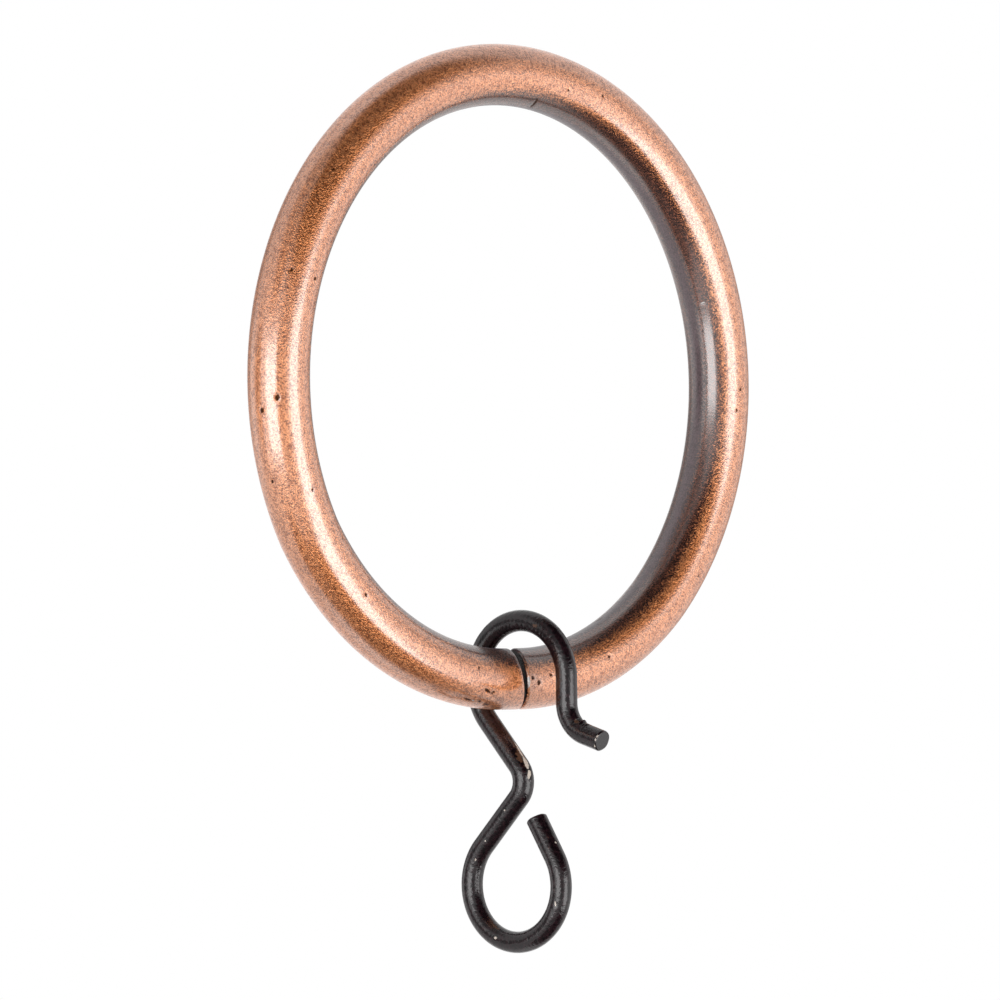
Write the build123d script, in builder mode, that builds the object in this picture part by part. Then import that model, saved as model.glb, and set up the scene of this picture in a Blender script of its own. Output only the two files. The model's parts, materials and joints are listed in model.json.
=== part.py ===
"""A metal curtain ring with its wire hook.

The ring is one round rod, rolled into a hoop and left with a butt joint at the bottom.
The hook is one springy wire bent in a single plane: an arch that clips over the rod,
a kicked-out foot at its mouth, a pinched neck, and an eye for the curtain's own hook.

Frame: origin at the middle of the hoop, Y along the pole, front towards -Y, Z up.
"""
import os
from math import cos, radians, sin

from build123d import *

# Ring: rod and hoop
rod_diameter = 4.0
hoop_radius = 20.0  # to the middle of the rod
joint_drop = 0.69  # how far the closed ends lie inside the true hoop
shoulder_radius = 10.0  # short tight bend where each end was pressed in
left_end_span = 62.0  # degrees of hoop, counted from the bottom, that the press changed
left_shoulder_turn = 5.7
right_end_span = 45.0
right_shoulder_turn = 3.3

# Ring: butt joint, a slanting shear cut that gapes towards the pole
joint_x = 0.73
joint_yaw = 24.0  # slant seen from above
joint_lean = 8.75  # slant seen from the front
joint_gap_inside = 0.72  # across the cut at its two ends, just clear of the rod
joint_gap_outside = 0.13
cut_overrun = 0.5  # from the rod to those ends
end_edge_radius = 0.2

# Hook: wire and bends, radii to the middle of the wire
wire_diameter = 1.4
loop_diameter = 6.0  # inside the arch and the eye, which are turned on the same pin
front_leg_length = 1.65
foot_bend_radius = 2.1
foot_slope = 17.5  # degrees below level
foot_length = 1.53
rear_leg_length = 0.43
upper_run_slant = 40.7  # degrees from plumb
upper_run_length = 3.8
neck_radius = 1.6
lower_run_slant = 42.9
lower_run_length = 4.3
eye_tail_slant = 30.9
eye_tail_length = 2.9
wire_end_radius = 0.12

# Hook: how it sits on the rod
hook_x = 0.70  # middle of the arch along the rod
hook_turn = 7.0  # degrees out of square with the rod
hook_back_clearance = 0.25  # between the rod's back and the rear leg
hook_lift = 0.09  # middle of the arch above the middle of the rod

rod_radius = rod_diameter / 2
joint_height = joint_drop - hoop_radius
loop_radius = (loop_diameter + wire_diameter) / 2


def closing_arc(span, shoulder_turn):
    """Radius of one end's closing arc, and how far from the middle it comes level.

    The shoulder leaves the true hoop at the given span from the bottom. The closing arc
    follows it and comes level at the height of the joint.
    """
    turn = radians(span - shoulder_turn)
    offset = hoop_radius - shoulder_radius
    reach = offset * sin(radians(span)) + shoulder_radius * sin(turn)
    depth = offset * cos(radians(span)) + shoulder_radius * cos(turn)
    radius = (-joint_height - depth) / (1 - cos(turn))
    return radius, reach - radius * sin(turn)


left_arc_radius, left_level = closing_arc(left_end_span, left_shoulder_turn)
right_arc_radius = closing_arc(right_end_span, right_shoulder_turn)[0]

with BuildPart() as ring:
    # From the joint up the left side, over the top and down the right side
    with BuildLine(Plane.XZ) as hoop:
        left_run = Line((joint_x, joint_height), (-left_level, joint_height))
        left_arc = JernArc(left_run @ 1, left_run % 1, left_arc_radius, left_shoulder_turn - left_end_span)
        left_shoulder = JernArc(left_arc @ 1, left_arc % 1, shoulder_radius, -left_shoulder_turn)
        rolled_turn = 360 - left_end_span - right_end_span
        rolled = JernArc(left_shoulder @ 1, left_shoulder % 1, hoop_radius, -rolled_turn)
        right_shoulder = JernArc(rolled @ 1, rolled % 1, shoulder_radius, -right_shoulder_turn)
        right_turn = right_end_span - right_shoulder_turn
        right_arc = JernArc(right_shoulder @ 1, right_shoulder % 1, right_arc_radius, -right_turn)
        Line(right_arc @ 1, left_run @ 0)
    with BuildSketch(Plane(hoop.wire() @ 0, z_dir=hoop.wire() % 0)):
        Circle(rod_radius)
    sweep(path=hoop.wire())

    # The slanting cut parts the two ends
    yaw = radians(joint_yaw)
    cut_plane = Plane(
        origin=(joint_x, 0, joint_height), x_dir=(cos(yaw), -sin(yaw), 0), z_dir=(-sin(yaw), -cos(yaw), 0)
    )
    reach = rod_radius + cut_overrun
    with BuildSketch(cut_plane.rotated((0, 0, joint_lean))):
        with BuildLine():
            Polyline(
                (-joint_gap_inside / 2, reach),
                (joint_gap_inside / 2, reach),
                (joint_gap_outside / 2, -reach),
                (-joint_gap_outside / 2, -reach),
                close=True,
            )
        make_face()
    extrude(amount=rod_diameter, both=True, mode=Mode.SUBTRACT)
    fillet(ring.faces().filter_by(GeomType.PLANE).edges(), end_edge_radius)
ring.part.label = "ring"

with BuildPart() as wire_hook:
    turn = radians(hook_turn)
    hook_y = rod_radius + hook_back_clearance - loop_diameter / 2 * cos(turn)
    hook_plane = Plane(
        origin=(hook_x, hook_y, joint_height + hook_lift),
        x_dir=(sin(turn), -cos(turn), 0),
        z_dir=(-cos(turn), -sin(turn), 0),
    )
    # The plane's origin is the middle of the arch, its x points to the front and its y up
    with BuildLine(hook_plane) as bends:
        CenterArc((0, 0), loop_radius, 0, 180)
        front_leg = Line((loop_radius, 0), (loop_radius, -front_leg_length))
        foot_bend = JernArc(front_leg @ 1, front_leg % 1, foot_bend_radius, 90 - foot_slope)
        PolarLine(foot_bend @ 1, foot_length, direction=foot_bend % 1)
        rear_leg = Line((-loop_radius, 0), (-loop_radius, -rear_leg_length))
        rear_bend = JernArc(rear_leg @ 1, rear_leg % 1, loop_radius, upper_run_slant)
        upper_run = PolarLine(rear_bend @ 1, upper_run_length, direction=rear_bend % 1)
        neck = JernArc(upper_run @ 1, upper_run % 1, neck_radius, -upper_run_slant - lower_run_slant)
        lower_run = PolarLine(neck @ 1, lower_run_length, direction=neck % 1)
        eye_turn = 180 + lower_run_slant + eye_tail_slant
        eye = JernArc(lower_run @ 1, lower_run % 1, loop_radius, eye_turn)
        PolarLine(eye @ 1, eye_tail_length, direction=eye % 1)
    with BuildSketch(Plane(bends.wire() @ 0, z_dir=bends.wire() % 0)):
        Circle(wire_diameter / 2)
    sweep(path=bends.wire())
    fillet(wire_hook.faces().filter_by(GeomType.PLANE).edges(), wire_end_radius)
wire_hook.part.label = "wire_hook"

os.makedirs("parts", exist_ok=True)
export_step(ring.part, "parts/ring.step")
export_step(wire_hook.part, "parts/wire_hook.step")
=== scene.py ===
"""A copper-finished curtain ring with its black wire hook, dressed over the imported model.

Lengths are in millimetres until a mesh is made, and every piece sits in the part's own
frame: origin at the middle of the hoop, front towards -Y, Z up.
"""
import json

import bpy
import numpy as np
from mathutils import Matrix, Vector


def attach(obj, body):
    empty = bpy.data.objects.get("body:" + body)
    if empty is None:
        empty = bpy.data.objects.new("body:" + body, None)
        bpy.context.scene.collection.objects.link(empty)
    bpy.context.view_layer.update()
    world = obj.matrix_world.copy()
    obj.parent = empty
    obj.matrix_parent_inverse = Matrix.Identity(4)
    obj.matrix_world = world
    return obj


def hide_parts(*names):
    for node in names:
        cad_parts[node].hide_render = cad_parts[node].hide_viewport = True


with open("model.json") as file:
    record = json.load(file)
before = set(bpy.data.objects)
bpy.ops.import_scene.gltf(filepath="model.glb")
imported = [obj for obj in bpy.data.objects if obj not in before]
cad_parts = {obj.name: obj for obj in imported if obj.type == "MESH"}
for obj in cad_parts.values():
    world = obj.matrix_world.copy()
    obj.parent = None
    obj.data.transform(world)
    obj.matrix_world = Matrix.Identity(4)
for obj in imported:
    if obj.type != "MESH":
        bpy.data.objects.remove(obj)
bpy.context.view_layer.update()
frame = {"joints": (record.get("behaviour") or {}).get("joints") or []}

mm = 0.001


# The photograph's camera: a long lens, a little under the middle of the ring and well to
# its left, so that the hoop reads as a tall ellipse with its left side nearest.
view_turn = np.radians(-44.32)  # round the ring from its front
view_rise = np.radians(-0.48)
view_roll = np.radians(-0.47)
view_distance = 594.7
ring_right_of_middle = 0.25  # where the ring's own middle falls in the picture
ring_above_middle = 7.67
focal_length = 329.15
sensor_width = 36.0

to_camera = np.array([
    np.sin(view_turn) * np.cos(view_rise),
    -np.cos(view_turn) * np.cos(view_rise),
    np.sin(view_rise),
])
level_right = np.array([np.cos(view_turn), np.sin(view_turn), 0])
level_up = np.cross(to_camera, level_right)
camera_right = level_right * np.cos(view_roll) + level_up * np.sin(view_roll)
camera_up = np.cross(to_camera, camera_right)
camera_place = to_camera * view_distance
camera_place -= camera_right * ring_right_of_middle + camera_up * ring_above_middle

camera = bpy.data.objects.new("camera", bpy.data.cameras.new("camera"))
camera.data.lens = focal_length
camera.data.sensor_width = sensor_width
camera.matrix_world = Matrix.Translation(Vector(camera_place * mm)) @ Matrix(
    np.stack([camera_right, camera_up, to_camera], axis=1).tolist()
).to_4x4()
bpy.context.scene.collection.objects.link(camera)
bpy.context.scene.camera = camera


# The ring: one round steel rod rolled into a hoop and closed with a slanting butt joint at
# the bottom, where both ends were pressed in a little. It is copper plated, darkened, rubbed
# bright again where a cloth could reach, and lacquered; the side towards the pole stays dark.
rod_radius = 2.0
hoop_radius = 20.0
joint_height = -19.31
joint_x = 0.73
shoulder_radius = 10.0
left_end_span, left_shoulder_turn = 62.0, 5.7  # degrees
right_end_span, right_shoulder_turn = 45.0, 3.3
joint_yaw = np.radians(24.0)
joint_lean = np.radians(8.75)
joint_gap_inside, joint_gap_outside = 0.52, 0.05  # a little narrower than the solid's, as photographed
cut_reach = 2.5  # from the middle of the rod to where those two gaps are measured
end_edge_radius = 0.18


def bend(radius, degrees):
    """One bend of a rod as (length, turn): length is radius times turn, and left turns are plus."""
    return radius * abs(np.radians(degrees)), np.radians(degrees)


def bent_line(runs, heading, fixed_run, fixed_point, along):
    """Middle line of a rod that is bent in one plane, run after run.

    Each run is (length, turn). Over a distance t in a run the heading changes evenly, so the
    chord is t * sin(b / 2) / (b / 2) for the turn b made so far, at half that turn from the
    run's first heading. The line is moved so that fixed_run starts at fixed_point. Gives the
    two coordinates and the heading at the distances along.
    """
    lengths, turns = np.array(runs).T
    starts = np.append(0, np.cumsum(lengths))
    headings = heading + np.append(0, np.cumsum(turns))
    chords = lengths * np.sinc(turns / 2 / np.pi)
    middles = headings[:-1] + turns / 2
    corners = np.stack([chords * np.cos(middles), chords * np.sin(middles)], axis=1)
    corners = np.vstack([[0, 0], np.cumsum(corners, axis=0)])
    corners += np.array(fixed_point) - corners[fixed_run]
    run = np.clip(np.searchsorted(starts, along, side="right") - 1, 0, len(runs) - 1)
    gone = along - starts[run]
    turned = turns[run] / lengths[run] * gone
    chord = gone * np.sinc(turned / 2 / np.pi)
    way = headings[run] + turned / 2
    first = corners[run, 0] + chord * np.cos(way)
    second = corners[run, 1] + chord * np.sin(way)
    return first, second, headings[run] + turned


def closing_arc(span, shoulder_turn):
    """Radius of one end's closing arc, and how far from the middle it comes level.

    The shoulder leaves the true hoop at the span from the bottom, and the arc after it
    comes level at the height of the joint.
    """
    turn = np.radians(span - shoulder_turn)
    offset = hoop_radius - shoulder_radius
    reach = offset * np.sin(np.radians(span)) + shoulder_radius * np.sin(turn)
    depth = offset * np.cos(np.radians(span)) + shoulder_radius * np.cos(turn)
    radius = (-joint_height - depth) / (1 - np.cos(turn))
    return radius, reach - radius * np.sin(turn)


left_arc_radius, left_level = closing_arc(left_end_span, left_shoulder_turn)
right_arc_radius, right_level = closing_arc(right_end_span, right_shoulder_turn)
hoop_runs = [
    (joint_x + left_level, 0),
    bend(left_arc_radius, left_shoulder_turn - left_end_span),
    bend(shoulder_radius, -left_shoulder_turn),
    bend(hoop_radius, left_end_span + right_end_span - 360),
    bend(shoulder_radius, -right_shoulder_turn),
    bend(right_arc_radius, right_shoulder_turn - right_end_span),
    (right_level - joint_x, 0),
]
rod_length = sum(length for length, turn in hoop_runs)


def end_rows(radius, edge_radius, face_rows, edge_rows):
    """Rows that close one end of a rod, as (radius, depth).

    They run from near the middle of the end face out to the start of the edge, then over the
    edge's quarter circle to the rod's side. The edge's radius is one number a column.
    """
    face = (radius - edge_radius) * (np.arange(1, face_rows + 1) / face_rows)[:, None]
    turn = (np.radians(90) * np.arange(1, edge_rows + 1) / edge_rows)[:, None]
    return (
        np.vstack([face, radius - edge_radius + edge_radius * np.sin(turn)]),
        np.vstack([0 * face, edge_radius * (1 - np.cos(turn))]),
    )


def fade(distance, reach):
    """One at distance 0, falling on a smooth S to nothing at reach."""
    t = np.clip(distance / reach, 0, 1)
    return 1 - t * t * (3 - 2 * t)


def joint_faces(across, up):
    """Where the two slanted end faces cut a line along the rod, from joint_x along X.

    The cut is a wedge, open towards the pole. Its own axes are X turned by the yaw and the
    lean; each face is the plane where the wedge's x is half the gap, which grows evenly
    with the wedge's y.
    """
    cos_yaw, sin_yaw = np.cos(joint_yaw), np.sin(joint_yaw)
    cos_lean, sin_lean = np.cos(joint_lean), np.sin(joint_lean)
    wedge_x = np.array([cos_yaw * cos_lean, -sin_yaw * cos_lean, sin_lean])
    wedge_y = np.array([-cos_yaw * sin_lean, sin_yaw * sin_lean, cos_lean])
    middle_gap = (joint_gap_inside + joint_gap_outside) / 2
    opening = (joint_gap_inside - joint_gap_outside) / (2 * cut_reach)
    left = wedge_x + wedge_y * opening / 2
    right = wedge_x - wedge_y * opening / 2
    return (
        (-middle_gap / 2 - across * left[1] - up * left[2]) / left[0],
        (middle_gap / 2 - across * right[1] - up * right[2]) / right[0],
    )


# Rows run from the left end up and over the hoop to the right end; round the rod the angle
# is 0 on the outside of the hoop, 90 degrees at the front and 180 towards the pole.
rod_rows, rod_columns = 960, 100
rod_face_rows, rod_edge_rows = 6, 6
slant_fades_over = 9.0
round_rod = np.radians(360) * np.arange(rod_columns) / rod_columns
even_edge = np.full(rod_columns, end_edge_radius)
cap_radius, cap_depth = end_rows(rod_radius, even_edge, rod_face_rows, rod_edge_rows)
share_of_side = np.linspace(0, 1, rod_rows)[1:-1, None]
side = end_edge_radius + (rod_length - 2 * end_edge_radius) * share_of_side * np.ones(rod_columns)
row_place = np.vstack([cap_depth, side, rod_length - cap_depth[::-1]])
row_radius = np.vstack([cap_radius, np.full(side.shape, rod_radius), cap_radius[::-1]])
left_cut, right_cut = joint_faces(-row_radius * np.sin(round_rod), -row_radius * np.cos(round_rod))
along_rod = row_place - left_cut * fade(row_place, slant_fades_over)
along_rod -= right_cut * fade(rod_length - row_place, slant_fades_over)

# Marks that show: distance along the rod, degrees round it, half length, half width,
# degrees that the length is turned from the rod's line, depth
pits = [
    (30.6, 44, 0.21, 0.17, 30, 0.06), (29.9, 12, 0.17, 0.15, 0, 0.05), (25.7, 11, 0.11, 0.11, 0, 0.04),
    (24.6, 82, 0.13, 0.10, 0, 0.03), (38.3, 48, 0.12, 0.12, 0, 0.04), (38.3, 100, 0.14, 0.12, 0, 0.04),
    (45.3, 51, 0.12, 0.10, 0, 0.03), (20.5, 114, 0.12, 0.10, 0, 0.03), (16.5, 86, 0.15, 0.12, 0, 0.05),
    (67.5, 105, 0.11, 0.10, 0, 0.03), (70.6, 86, 0.13, 0.12, 0, 0.04), (94.9, 89, 0.13, 0.11, 0, 0.03),
    (96.3, 97, 0.11, 0.10, 0, 0.03), (108.0, 79, 0.10, 0.10, 0, 0.03), (118.0, 97, 0.14, 0.12, 0, 0.05),
    (123.6, 96, 0.15, 0.13, 0, 0.04), (124.7, 83, 0.15, 0.20, 0, 0.05), (125.25, 92, 0.15, 0.14, 40, 0.06),
    (125.5, 61, 0.10, 0.10, 0, 0.03), (5.2, 99, 0.09, 0.14, 0, 0.03),
    (4.0, 61, 0.34, 0.11, 19, 0.07), (3.5, 60, 0.20, 0.09, -34, 0.06),  # a scratch with two arms
    (4.95, 33, 0.34, 0.09, 0, 0.03), (4.0, 34, 0.17, 0.10, 0, 0.03), (3.3, 28, 0.26, 0.11, 0, 0.03),
    (65.4, 152, 0.62, 0.11, 76, 0.05), (115.8, 184, 0.3, 0.12, 0, 0.03),
]
# Pale flakes where the finish is off, and one painted highlight: a pale spot on the joint's edge
flakes_and_glint = [
    (4.5, 32, 0.14, 0.08, 0, 0.02), (88.6, 150, 0.22, 0.07, 80, 0.02),
    (125.63, 82, 0.13, 0.50, 0, 0.0),  # a painted glint: a pale spot on the joint's edge in place of its highlight
]


def oval_marks(marks, along, angle, radius):
    """Depth of oval marks at each point of a rod, and how much of the point they cover.

    A mark is a bell, exp(-(u / half length)^2 - (v / half width)^2), with u and v measured
    over the rod's surface, along the mark and across it.
    """
    depth, cover = np.zeros(along.shape), np.zeros(along.shape)
    for place, degrees, half_length, half_width, turned, deep in marks:
        ahead = along - place
        aside = np.angle(np.exp(1j * (angle - np.radians(degrees)))) * radius
        c, s = np.cos(np.radians(turned)), np.sin(np.radians(turned))
        u = ahead * c + aside * s
        v = aside * c - ahead * s
        bell = np.exp(-((u / half_length) ** 2) - (v / half_width) ** 2)
        depth += deep * bell
        cover = np.maximum(cover, bell)
    return depth, cover


angle_round = np.broadcast_to(round_rod, along_rod.shape)
pit_depth, pit_cover = oval_marks(pits, along_rod, angle_round, rod_radius)
flake_and_glint_depth, flake_and_glint_cover = oval_marks(flakes_and_glint, along_rod, angle_round, rod_radius)
hoop_x, hoop_z, hoop_heading = bent_line(hoop_runs, np.pi, 0, (joint_x, joint_height), along_rod)
marked_radius = row_radius - pit_depth - flake_and_glint_depth
out = marked_radius * np.cos(round_rod)
rod_points = np.stack([
    hoop_x - out * np.sin(hoop_heading),
    -marked_radius * np.sin(round_rod),
    hoop_z + out * np.cos(hoop_heading),
], axis=-1)


def skin(name, points, attributes):
    """Closed mesh over rows of points round a rod.

    Neighbouring rows are joined by quads, each row closes on itself, and the first and last
    rows are closed by a fan to their middle. Attributes are one number a point.
    """
    rows, columns, _ = points.shape
    ids = np.arange(rows * columns).reshape(rows, columns)
    onward = np.roll(ids, -1, axis=1)
    quads = np.stack([ids[:-1], ids[1:], onward[1:], onward[:-1]], axis=-1).reshape(-1, 4)
    first, last = rows * columns, rows * columns + 1
    near = np.stack([np.full(columns, first), ids[0], onward[0]], axis=-1)
    far = np.stack([np.full(columns, last), onward[-1], ids[-1]], axis=-1)
    corners = np.concatenate([points.reshape(-1, 3), points[[0, -1]].mean(axis=1)]) * mm
    mesh = bpy.data.meshes.new(name)
    mesh.from_pydata(corners.tolist(), [], quads.tolist() + near.tolist() + far.tolist())
    mesh.polygons.foreach_set("use_smooth", np.ones(len(mesh.polygons), dtype=bool))
    for label, values in attributes.items():
        layer = mesh.attributes.new(label, "FLOAT", "POINT")
        layer.data.foreach_set("value", np.append(values.ravel(), [values[0].mean(), values[-1].mean()]))
    piece = bpy.data.objects.new(name, mesh)
    bpy.context.scene.collection.objects.link(piece)
    return piece


# The cloth reached less far round next to the joint: by how many degrees, and how far along
less_rubbed_left, less_rubbed_left_over = 16.0, 3.5
less_rubbed_right, less_rubbed_right_over = 10.0, 3.0
from_pole = np.degrees(np.pi - np.abs(np.angle(np.exp(1j * angle_round))))
from_pole -= less_rubbed_left * np.exp(-((along_rod / less_rubbed_left_over) ** 2))
from_pole -= less_rubbed_right * np.exp(-(((rod_length - along_rod) / less_rubbed_right_over) ** 2))
on_end_face = np.zeros(along_rod.shape)
on_end_face[:len(cap_depth)] = cap_depth == 0
on_end_face[-len(cap_depth):] = cap_depth[::-1] == 0
ring = skin("copper_ring", rod_points, {
    "from_pole": from_pole,
    "pit": pit_cover,
    "flake_and_glint": flake_and_glint_cover,
    "end_face": on_end_face,
})


def linear(hex_colour):
    """Linear RGBA from an sRGB hex value, by the usual sRGB curve."""
    c = np.array([int(hex_colour[i:i + 2], 16) for i in (1, 3, 5)]) / 255
    return (*np.where(c <= 0.04045, c / 12.92, ((c + 0.055) / 1.055) ** 2.4), 1.0)


def add(tree, kind, inputs, **settings):
    """Adds one node: settings are its own properties, inputs its sockets, each given a value or
    another node's output to link."""
    node = tree.nodes.new(kind)
    for key, value in settings.items():
        setattr(node, key, value)
    for key, value in inputs.items():
        if isinstance(value, bpy.types.NodeSocket):
            tree.links.new(value, node.inputs[key])
        else:
            node.inputs[key].default_value = value
    return node


# Antique copper under lacquer: plated copper with a fine pebbled grain, brown in its hollows
# where the darkening stayed, so that it sparkles in specks. The side towards the pole was never
# rubbed and is a smooth grey-black, with a speckled brown border between the two. The lacquer
# lies thick and mirrors the studio in pale streaks over the copper.
copper_bright = "#FFA468"
copper_brown = "#A4592C"
border_dark, border_pale = "#3A1F1A", "#7C4A38"
patina_dark, patina_pale = "#382126", "#5C4248"
pit_brown = "#4A2812"
end_shade_brown = "#24120A"  # the cut ends, darkened and never rubbed, and painted darker still as shade in the joint's narrow gap
# Pale grey of the flakes, and of the painted glint on the joint's edge
flake_and_glint_grey = "#D2CCC8"
grain_size = 0.11  # mm, drawn about twice as coarse as the plating's own grain, to show
mottle_size = 0.32
mottle_share = 0.5  # of the grain's own weight
hollow_to, raised_from = 0.58, 0.86  # in grain and mottle together
unrubbed_to, browned_from = 10.0, 18.0  # degrees from the side towards the pole
brown_to, rubbed_from = 42.0, 64.0
grain_sways_border = 9.0
grain_low, grain_high = 0.3, 0.7  # the noise at the two ends of that sway
pit_raggedness = 0.9
whole_to, pitted_from = 0.72, 1.02  # in a pit's cover and the grain together
flake_and_glint_edge, flake_and_glint_full = 0.3, 0.6  # in the cover of a flake and of the painted glint
hollow_lacquer, raised_lacquer = 0.68, 1.0  # weight of the coat on rubbed copper
patina_lacquer, border_lacquer = 0.37, 0.72
bare_lacquer = 0.03  # in pits and on the cut ends
lacquer_ior = 2.8  # real lacquer has about 1.5; this gives streaks as strong as the photograph's
lacquer_roughness = 0.17
patina_roughness, copper_roughness = 0.4, 0.36
pebble_height = 0.09  # mm
patina_pebble = 0.25  # share of that height left on the unrubbed side
lacquer_ripple, lacquer_follows = 0.05, 0.09  # mm, and how much of the pebbling the lacquer keeps

copper = bpy.data.materials.new("antique_copper_lacquered")
copper.use_nodes = True
tree = copper.node_tree
shader = tree.nodes["Principled BSDF"]
place = add(tree, "ShaderNodeTexCoord", {}).outputs["Object"]
grain = add(tree, "ShaderNodeTexNoise", {"Vector": place, "Scale": 1 / (grain_size * mm)}).outputs["Fac"]
mottle = add(tree, "ShaderNodeTexNoise", {"Vector": place, "Scale": 1 / (mottle_size * mm)}).outputs["Fac"]
pole_angle = add(tree, "ShaderNodeAttribute", {}, attribute_name="from_pole").outputs["Fac"]
pit = add(tree, "ShaderNodeAttribute", {}, attribute_name="pit").outputs["Fac"]
flake_and_glint = add(tree, "ShaderNodeAttribute", {}, attribute_name="flake_and_glint").outputs["Fac"]
end_face = add(tree, "ShaderNodeAttribute", {}, attribute_name="end_face").outputs["Fac"]
sway = add(tree, "ShaderNodeMapRange", {
    "Value": grain, "From Min": grain_low, "From Max": grain_high,
    "To Min": -grain_sways_border, "To Max": grain_sways_border,
}).outputs["Result"]
border_angle = add(tree, "ShaderNodeMath", {0: pole_angle, 1: sway}, operation="ADD").outputs[0]
browned = add(tree, "ShaderNodeMapRange", {
    "Value": border_angle, "From Min": unrubbed_to, "From Max": browned_from,
}, interpolation_type="SMOOTHSTEP").outputs["Result"]
rubbed = add(tree, "ShaderNodeMapRange", {
    "Value": border_angle, "From Min": brown_to, "From Max": rubbed_from,
}, interpolation_type="SMOOTHSTEP").outputs["Result"]
cloudy = add(tree, "ShaderNodeMath", {
    0: mottle, 1: mottle_share, 2: grain,
}, operation="MULTIPLY_ADD").outputs[0]
raised = add(tree, "ShaderNodeMapRange", {
    "Value": cloudy, "From Min": hollow_to, "From Max": raised_from,
}).outputs["Result"]
grainy = add(tree, "ShaderNodeMix", {
    0: raised, 6: linear(copper_brown), 7: linear(copper_bright),
}, data_type="RGBA").outputs[2]
patina = add(tree, "ShaderNodeMix", {
    0: raised, 6: linear(patina_dark), 7: linear(patina_pale),
}, data_type="RGBA").outputs[2]
speckled = add(tree, "ShaderNodeMix", {
    0: raised, 6: linear(border_dark), 7: linear(border_pale),
}, data_type="RGBA").outputs[2]
border = add(tree, "ShaderNodeMix", {0: browned, 6: patina, 7: speckled}, data_type="RGBA").outputs[2]
colour = add(tree, "ShaderNodeMix", {0: rubbed, 6: border, 7: grainy}, data_type="RGBA").outputs[2]
ragged_pit = add(tree, "ShaderNodeMath", {
    0: grain, 1: pit_raggedness, 2: pit,
}, operation="MULTIPLY_ADD").outputs[0]
in_pit = add(tree, "ShaderNodeMapRange", {
    "Value": ragged_pit, "From Min": whole_to, "From Max": pitted_from,
}, interpolation_type="SMOOTHSTEP").outputs["Result"]
# Pale spots: the flakes, and the painted glint on the joint's edge
pale_spot_share = add(tree, "ShaderNodeMapRange", {
    "Value": flake_and_glint, "From Min": flake_and_glint_edge, "From Max": flake_and_glint_full,
}, interpolation_type="SMOOTHSTEP").outputs["Result"]
pitted = add(tree, "ShaderNodeMix", {
    0: in_pit, 6: colour, 7: linear(pit_brown),
}, data_type="RGBA").outputs[2]
with_pale_spots = add(tree, "ShaderNodeMix", {
    0: pale_spot_share, 6: pitted, 7: linear(flake_and_glint_grey),
}, data_type="RGBA").outputs[2]
# Painted shade: the flat end faces take this near-black brown, so that the joint's narrow gap reads dark
with_shaded_ends = add(tree, "ShaderNodeMix", {
    0: end_face, 6: with_pale_spots, 7: linear(end_shade_brown),
}, data_type="RGBA").outputs[2]
bare = add(tree, "ShaderNodeMath", {0: in_pit, 1: end_face}, operation="MAXIMUM").outputs[0]
thick = add(tree, "ShaderNodeMapRange", {
    "Value": raised, "To Min": hollow_lacquer, "To Max": raised_lacquer,
}).outputs["Result"]
thin = add(tree, "ShaderNodeMapRange", {
    "Value": browned, "To Min": patina_lacquer, "To Max": border_lacquer,
}).outputs["Result"]
lacquered = add(tree, "ShaderNodeMix", {0: rubbed, 2: thin, 3: thick}, data_type="FLOAT").outputs[0]
lacquer = add(tree, "ShaderNodeMix", {
    0: bare, 2: lacquered, 3: bare_lacquer,
}, data_type="FLOAT").outputs[0]
gloss = add(tree, "ShaderNodeMapRange", {
    "Value": browned, "To Min": patina_roughness, "To Max": copper_roughness,
}).outputs["Result"]
pebble = add(tree, "ShaderNodeMapRange", {"Value": browned, "To Min": patina_pebble}).outputs["Result"]
height = add(tree, "ShaderNodeMath", {0: cloudy, 1: pebble}, operation="MULTIPLY").outputs[0]
bumps = add(tree, "ShaderNodeBump", {"Height": height, "Distance": pebble_height * mm}).outputs["Normal"]
lacquer_skin = add(tree, "ShaderNodeBump", {
    "Height": height, "Strength": lacquer_follows, "Distance": lacquer_ripple * mm,
}).outputs["Normal"]
tree.links.new(with_shaded_ends, shader.inputs["Base Color"])
tree.links.new(browned, shader.inputs["Metallic"])
tree.links.new(gloss, shader.inputs["Roughness"])
tree.links.new(bumps, shader.inputs["Normal"])
tree.links.new(lacquer_skin, shader.inputs["Coat Normal"])
tree.links.new(lacquer, shader.inputs["Coat Weight"])
shader.inputs["Coat IOR"].default_value = lacquer_ior
shader.inputs["Coat Roughness"].default_value = lacquer_roughness
ring.data.materials.append(copper)
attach(ring, "ring")
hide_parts("ring")


# The hook: one springy steel wire, bent in a single plane on pins. It has an arch that clips
# over the rod, a foot kicked out at its mouth, a pinched neck and an open eye. It is finished
# satin black, which has chipped where the bending tool held it.
wire_radius = 0.7
loop_radius = 3.7
foot_slope = 17.5  # degrees
upper_run_slant, lower_run_slant = 40.7, 42.9
eye_tail_slant = 30.9
wire_end_radius = 0.12
wire_runs = [
    (1.53, 0),  # foot, from its cut end
    bend(2.1, foot_slope - 90),  # foot bend
    (1.65, 0),  # front leg
    bend(loop_radius, 180),  # arch
    (0.43, 0),  # rear leg
    bend(loop_radius, upper_run_slant),  # rear bend
    (3.8, 0),  # upper run
    bend(1.6, -upper_run_slant - lower_run_slant),  # neck
    (4.3, 0),  # lower run
    bend(loop_radius, 180 + lower_run_slant + eye_tail_slant),  # eye
    (2.9, 0),  # eye tail
]
arch_run = 3
wire_length = sum(length for length, turn in wire_runs)

# The arch swings about its own middle, so the swing's axis is square to the wire's plane
swing = next(joint for joint in frame["joints"] if joint["name"] == "hook_swing")
arch_middle = np.array(swing["pos_m"]) / mm
side_on = np.array(swing["axis"])
forward = np.array([side_on[1], -side_on[0], 0])
upward = np.array([0, 0, 1])

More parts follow.
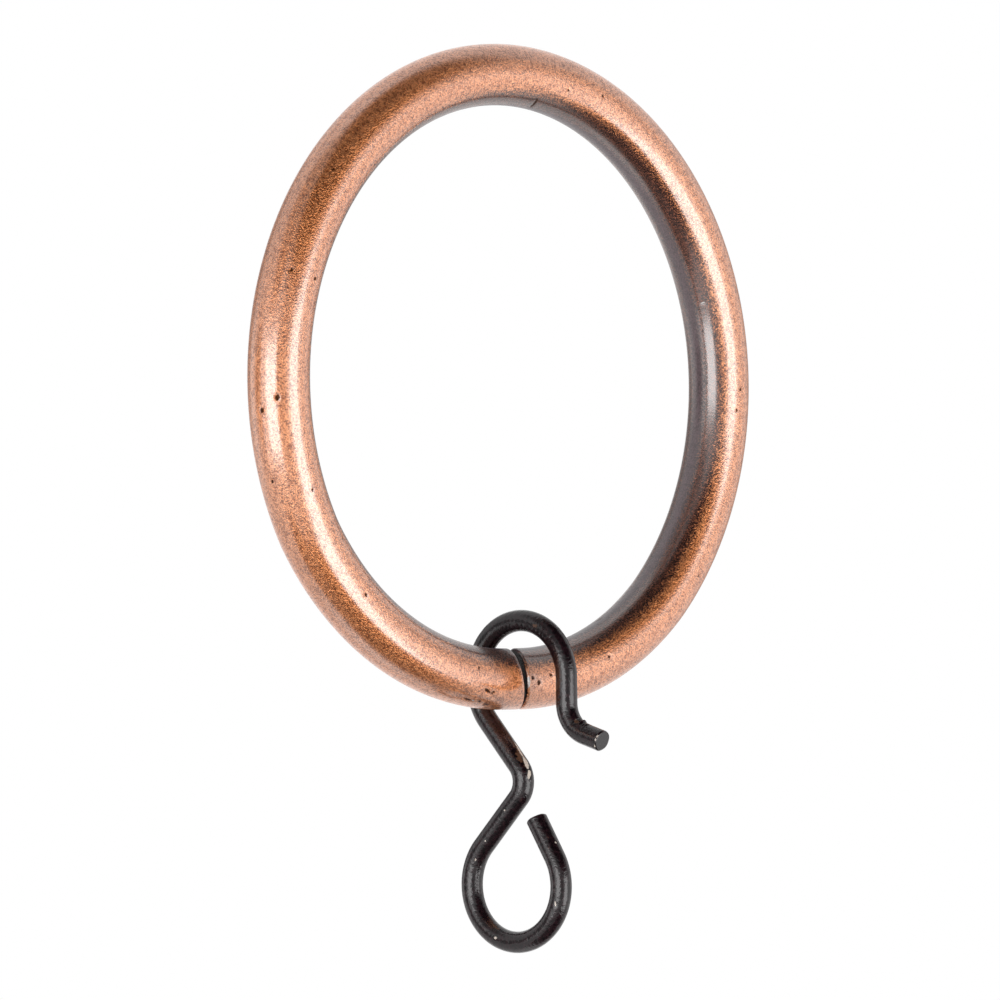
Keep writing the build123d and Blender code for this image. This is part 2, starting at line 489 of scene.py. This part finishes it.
# Round the wire the angle is 0 to the left of its heading, in its plane, and 270 degrees
# towards the camera. Both ends were sheared, which left their edges a little uneven.
wire_rows, wire_columns = 1000, 72
wire_face_rows, wire_edge_rows = 5, 5
long_wave, short_wave = 0.04, 0.02  # two and five of them round an end's edge
long_wave_start = 0.8
round_wire = np.radians(360) * np.arange(wire_columns) / wire_columns
sheared_edge = wire_end_radius + long_wave * np.sin(2 * round_wire + long_wave_start)
sheared_edge += short_wave * np.sin(5 * round_wire)
wire_cap_radius, wire_cap_depth = end_rows(wire_radius, sheared_edge, wire_face_rows, wire_edge_rows)
share_of_side = np.linspace(0, 1, wire_rows)[1:-1, None]
side = sheared_edge + (wire_length - 2 * sheared_edge) * share_of_side
along_wire = np.vstack([wire_cap_depth, side, wire_length - wire_cap_depth[::-1]])
wire_row_radius = np.vstack([
    wire_cap_radius, np.full(side.shape, wire_radius), wire_cap_radius[::-1],
])

# Marks as on the ring: bare spots where the finish is off, rust, and the crease with its two
# burrs that the bending tool left inside the foot's bend
bare_spots = [
    (23.65, 3, 0.75, 0.11, -6, 0.02), (24.5, 354, 0.45, 0.20, -10, 0.03), (25.1, 350, 0.28, 0.15, -31, 0.05),
    (27.63, 276, 0.09, 0.07, 0, 0.02), (30.22, 290, 0.06, 0.06, 0, 0.02), (38.25, 276, 0.13, 0.09, 30, 0.03),
    (48.03, 192, 0.09, 0.07, 0, 0.02), (31.83, 300, 0.12, 0.05, 0, 0.02), (44.26, 252, 0.20, 0.06, 25, 0.02),
    (0.08, 262, 0.05, 0.10, 0, 0.02), (0.08, 240, 0.05, 0.12, 0, 0.02), (0.08, 300, 0.05, 0.12, 0, 0.02),
]
rust_spots = [
    (9.9, 264, 0.24, 0.14, 0, 0.01), (24.1, 335, 0.6, 0.24, 0, 0.01), (23.0, 20, 0.3, 0.14, 0, 0.01),
    (37.6, 330, 0.5, 0.12, 0, 0.01), (2.3, 215, 0.3, 0.2, 0, 0.0),
]
tool_marks = [
    (2.45, 196, 0.13, 0.5, 0, 0.09), (2.03, 182, 0.15, 0.3, 0, -0.14), (1.45, 194, 0.12, 0.24, 0, -0.06),
]
wire_angle = np.broadcast_to(round_wire, along_wire.shape)
bare_depth, bare_cover = oval_marks(bare_spots, along_wire, wire_angle, wire_radius)
rust_depth, rust_cover = oval_marks(rust_spots, along_wire, wire_angle, wire_radius)
tool_depth = oval_marks(tool_marks, along_wire, wire_angle, wire_radius)[0]
worn_radius = wire_row_radius - bare_depth - rust_depth - tool_depth
wire_front, wire_up, wire_heading = bent_line(
    wire_runs, np.radians(180 - foot_slope), arch_run, (loop_radius, 0), along_wire
)
leftward = -np.sin(wire_heading)[..., None] * forward + np.cos(wire_heading)[..., None] * upward
middle = arch_middle + wire_front[..., None] * forward + wire_up[..., None] * upward
wire_points = middle + (worn_radius * np.cos(round_wire))[..., None] * leftward
wire_points += (worn_radius * np.sin(round_wire))[..., None] * side_on
cap_rows = len(wire_cap_depth)
on_cut = np.zeros(along_wire.shape)
on_cut[:cap_rows] = wire_cap_depth == 0
on_cut[-cap_rows:] = wire_cap_depth[::-1] == 0
hook = skin("wire_hook_black", wire_points, {"bare": bare_cover, "rust": rust_cover, "cut": on_cut})

# Black finish on steel wire: a thin satin lacquer that follows the drawn wire's faint texture,
# off in small pale flakes, rusty in a few places, and missing on the dull grey sheared ends.
black_finish, black_worn = "#0D0609", "#28151A"
bare_steel = "#DCCFC2"
rust_brown = "#54341F"
sheared_grey = "#3C3A3B"
texture_size = 0.22  # mm
texture_height, texture_strength = 0.05, 0.6
smooth_to, worn_from = 0.4, 0.7  # in the texture
bare_raggedness, rust_raggedness = 0.8, 2.0
covered_to, bare_from = 0.78, 0.98  # in a bare spot's cover and the texture together
clean_to, rusted_from = 1.35, 1.75  # in a rust spot's cover and the texture together
finish_roughness, dull_roughness = 0.12, 0.6
finish_ior = 1.62

wire_black = bpy.data.materials.new("black_lacquered_wire")
wire_black.use_nodes = True
tree = wire_black.node_tree
shader = tree.nodes["Principled BSDF"]
place = add(tree, "ShaderNodeTexCoord", {}).outputs["Object"]
texture = add(tree, "ShaderNodeTexNoise", {
    "Vector": place, "Scale": 1 / (texture_size * mm), "Detail": 3.0,
}).outputs["Fac"]
bare = add(tree, "ShaderNodeAttribute", {}, attribute_name="bare").outputs["Fac"]
rust = add(tree, "ShaderNodeAttribute", {}, attribute_name="rust").outputs["Fac"]
cut = add(tree, "ShaderNodeAttribute", {}, attribute_name="cut").outputs["Fac"]
ragged_bare = add(tree, "ShaderNodeMath", {
    0: texture, 1: bare_raggedness, 2: bare,
}, operation="MULTIPLY_ADD").outputs[0]
pale_spot_share = add(tree, "ShaderNodeMapRange", {
    "Value": ragged_bare, "From Min": covered_to, "From Max": bare_from,
}, interpolation_type="SMOOTHSTEP").outputs["Result"]
ragged_rust = add(tree, "ShaderNodeMath", {
    0: texture, 1: rust_raggedness, 2: rust,
}, operation="MULTIPLY_ADD").outputs[0]
rusted = add(tree, "ShaderNodeMapRange", {
    "Value": ragged_rust, "From Min": clean_to, "From Max": rusted_from,
}, interpolation_type="SMOOTHSTEP").outputs["Result"]
worn = add(tree, "ShaderNodeMapRange", {
    "Value": texture, "From Min": smooth_to, "From Max": worn_from,
}).outputs["Result"]
finish = add(tree, "ShaderNodeMix", {
    0: worn, 6: linear(black_finish), 7: linear(black_worn),
}, data_type="RGBA").outputs[2]
rusty = add(tree, "ShaderNodeMix", {
    0: rusted, 6: finish, 7: linear(rust_brown),
}, data_type="RGBA").outputs[2]
with_pale_spots = add(tree, "ShaderNodeMix", {
    0: pale_spot_share, 6: rusty, 7: linear(bare_steel),
}, data_type="RGBA").outputs[2]
ended = add(tree, "ShaderNodeMix", {
    0: cut, 6: with_pale_spots, 7: linear(sheared_grey),
}, data_type="RGBA").outputs[2]
dull = add(tree, "ShaderNodeMath", {0: rusted, 1: cut}, operation="MAXIMUM").outputs[0]
gloss = add(tree, "ShaderNodeMapRange", {
    "Value": dull, "To Min": finish_roughness, "To Max": dull_roughness,
}).outputs["Result"]
bumps = add(tree, "ShaderNodeBump", {
    "Height": texture, "Strength": texture_strength, "Distance": texture_height * mm,
}).outputs["Normal"]
tree.links.new(ended, shader.inputs["Base Color"])
tree.links.new(gloss, shader.inputs["Roughness"])
tree.links.new(bumps, shader.inputs["Normal"])
shader.inputs["IOR"].default_value = finish_ior
hook.data.materials.append(wire_black)
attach(hook, "hook")
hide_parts("wire_hook")


# The studio: a pale round table well under the hanging ring, a soft box on either side of the
# camera, each brighter in its middle, and pale walls all round.
floor_height = -60.0
floor_radius = 200.0
floor_rows, floor_columns = 40, 96
first_row = 0.02  # share of the radius, closed by one face
floor_rings = np.linspace(first_row, 1, floor_rows)[:, None] * floor_radius
floor_angles = np.radians(360) * np.arange(floor_columns) / floor_columns
floor_grid = np.stack([
    floor_rings * np.cos(floor_angles),
    floor_rings * np.sin(floor_angles),
    np.full((floor_rows, floor_columns), floor_height),
], axis=-1)
ids = np.arange(floor_rows * floor_columns).reshape(floor_rows, floor_columns)
onward = np.roll(ids, -1, axis=1)
floor_quads = np.stack([ids[:-1], ids[1:], onward[1:], onward[:-1]], axis=-1).reshape(-1, 4)
floor_corners = floor_grid.reshape(-1, 3) * mm
floor_mesh = bpy.data.meshes.new("pale_floor")
floor_mesh.from_pydata(floor_corners.tolist(), [], floor_quads.tolist() + [ids[0].tolist()])
floor = bpy.data.objects.new("pale_floor", floor_mesh)
bpy.context.scene.collection.objects.link(floor)

# Matt white board, which the camera sees paler towards its edge, so that it runs into the backdrop
board_white = "#EDEDEC"
board_roughness = 0.9
lift_in_middle, lift_at_edge = 0.36, 0.6
matt_white = bpy.data.materials.new("matt_white_board")
matt_white.use_nodes = True
tree = matt_white.node_tree
shader = tree.nodes["Principled BSDF"]
place = add(tree, "ShaderNodeTexCoord", {}).outputs["Object"]
from_middle = add(tree, "ShaderNodeVectorMath", {0: place}, operation="LENGTH").outputs["Value"]
lift = add(tree, "ShaderNodeMapRange", {
    "Value": from_middle, "From Min": -floor_height * mm, "From Max": floor_radius * mm,
    "To Min": lift_in_middle, "To Max": lift_at_edge,
}, interpolation_type="SMOOTHSTEP").outputs["Result"]
seen = add(tree, "ShaderNodeLightPath", {}).outputs["Is Camera Ray"]
lift_seen = add(tree, "ShaderNodeMath", {0: lift, 1: seen}, operation="MULTIPLY").outputs[0]
tree.links.new(lift_seen, shader.inputs["Emission Strength"])
shader.inputs["Emission Color"].default_value = (1, 1, 1, 1)
shader.inputs["Base Color"].default_value = linear(board_white)
shader.inputs["Roughness"].default_value = board_roughness
floor.data.materials.append(matt_white)
floor.visible_glossy = False  # the ring hangs free, and its copper mirrors the room below it
floor.visible_shadow = False


def from_camera(turn, rise):
    """Direction seen from the ring: degrees round from the camera, to the picture's right, and up."""
    azimuth, height = view_turn + np.radians(turn), np.radians(rise)
    return Vector((np.sin(azimuth) * np.cos(height), -np.cos(azimuth) * np.cos(height), np.sin(height)))


soft_boxes = [  # degrees round from the camera and up, degrees wide and tall, brightness
    ("soft_box_left", -39.0, -4.0, 58.0, 42.0, 0.7),
    ("soft_box_left_middle", -29.0, -5.0, 38.0, 30.0, 2.25),
    ("soft_box_right", 58.0, -14.0, 56.0, 52.0, 0.6),
    ("soft_box_right_middle", 56.0, -15.0, 34.0, 47.0, 2.15),
]
soft_box_distance = 500.0
for name, turn, rise, width, height, brightness in soft_boxes:
    lamp = bpy.data.lights.new(name, "AREA")
    lamp.shape = "RECTANGLE"
    lamp.size, lamp.size_y = 2 * soft_box_distance * mm * np.tan(np.radians([width / 2, height / 2]))
    lamp.energy = brightness * np.pi * lamp.size * lamp.size_y
    soft_box = bpy.data.objects.new(name, lamp)
    outward = from_camera(turn, rise)
    soft_box.location = outward * soft_box_distance * mm
    soft_box.rotation_euler = outward.to_track_quat("Z", "Y").to_euler()
    bpy.context.scene.collection.objects.link(soft_box)

# Pale walls, palest behind the ring. Soft round patches of them are darker, most of all over and
# under the soft boxes, and a few are paler. They are placed so that the reflections in the lacquer
# fall where the photograph has them.
wall_level, backdrop_level = 0.72, 1.0
backdrop_edge, backdrop_full = 0.5, 0.95  # cosine of the angle from straight behind the ring
wall_patches = [  # direction of the middle, degrees from it that are even and to the edge, level
    (from_camera(112, 0), 10.0, 40.0, 0.93),
    (from_camera(-114, -3), 4.0, 20.0, 1.15),
    (from_camera(-135, -72), 6.0, 22.0, 1.05),
    (from_camera(-135, 72), 6.0, 22.0, 0.85),
    (from_camera(94, 26), 6.0, 23.0, 0.5),
    (from_camera(42, 55), 30.0, 50.0, 0.02),
    (from_camera(40, -65), 22.0, 42.0, 0.05),
    (from_camera(-32, -58), 12.0, 25.0, 0.12),
    (from_camera(-38, 40), 8.0, 22.0, 0.25),
    (from_camera(-145, 11), 8.0, 24.0, 0.3),
    (from_camera(-56, 57), 8.0, 27.0, 0.3),
    (from_camera(-81, 0), 5.0, 18.0, 0.25),
    (from_camera(156, 0), 8.0, 20.0, 0.4),
    (from_camera(10, 0), 4.0, 22.0, 0.4),
]
world = bpy.data.worlds.new("studio")
world.use_nodes = True
bpy.context.scene.world = world
tree = world.node_tree
direction = add(tree, "ShaderNodeTexCoord", {}).outputs["Generated"]
behind = add(tree, "ShaderNodeVectorMath", {
    0: direction, 1: tuple(-to_camera),
}, operation="DOT_PRODUCT").outputs["Value"]
level = add(tree, "ShaderNodeMapRange", {
    "Value": behind, "From Min": backdrop_edge, "From Max": backdrop_full,
    "To Min": wall_level, "To Max": backdrop_level,
}, interpolation_type="SMOOTHSTEP").outputs["Result"]
for middle, even_to, edge, patch_level in wall_patches:
    nearness = add(tree, "ShaderNodeVectorMath", {
        0: direction, 1: tuple(middle),
    }, operation="DOT_PRODUCT").outputs["Value"]
    share = add(tree, "ShaderNodeMapRange", {
        "Value": nearness, "From Min": np.cos(np.radians(edge)), "From Max": np.cos(np.radians(even_to)),
    }, interpolation_type="SMOOTHSTEP").outputs["Result"]
    level = add(tree, "ShaderNodeMix", {0: share, 2: level, 3: patch_level}, data_type="FLOAT").outputs[0]
seen = add(tree, "ShaderNodeLightPath", {}).outputs["Is Camera Ray"]
level = add(tree, "ShaderNodeMix", {0: seen, 2: level, 3: 1.0}, data_type="FLOAT").outputs[0]
tree.links.new(level, tree.nodes["Background"].inputs["Strength"])
tree.nodes["Background"].inputs["Color"].default_value = (1, 1, 1, 1)
bpy.context.scene.view_settings.view_transform = "Standard"
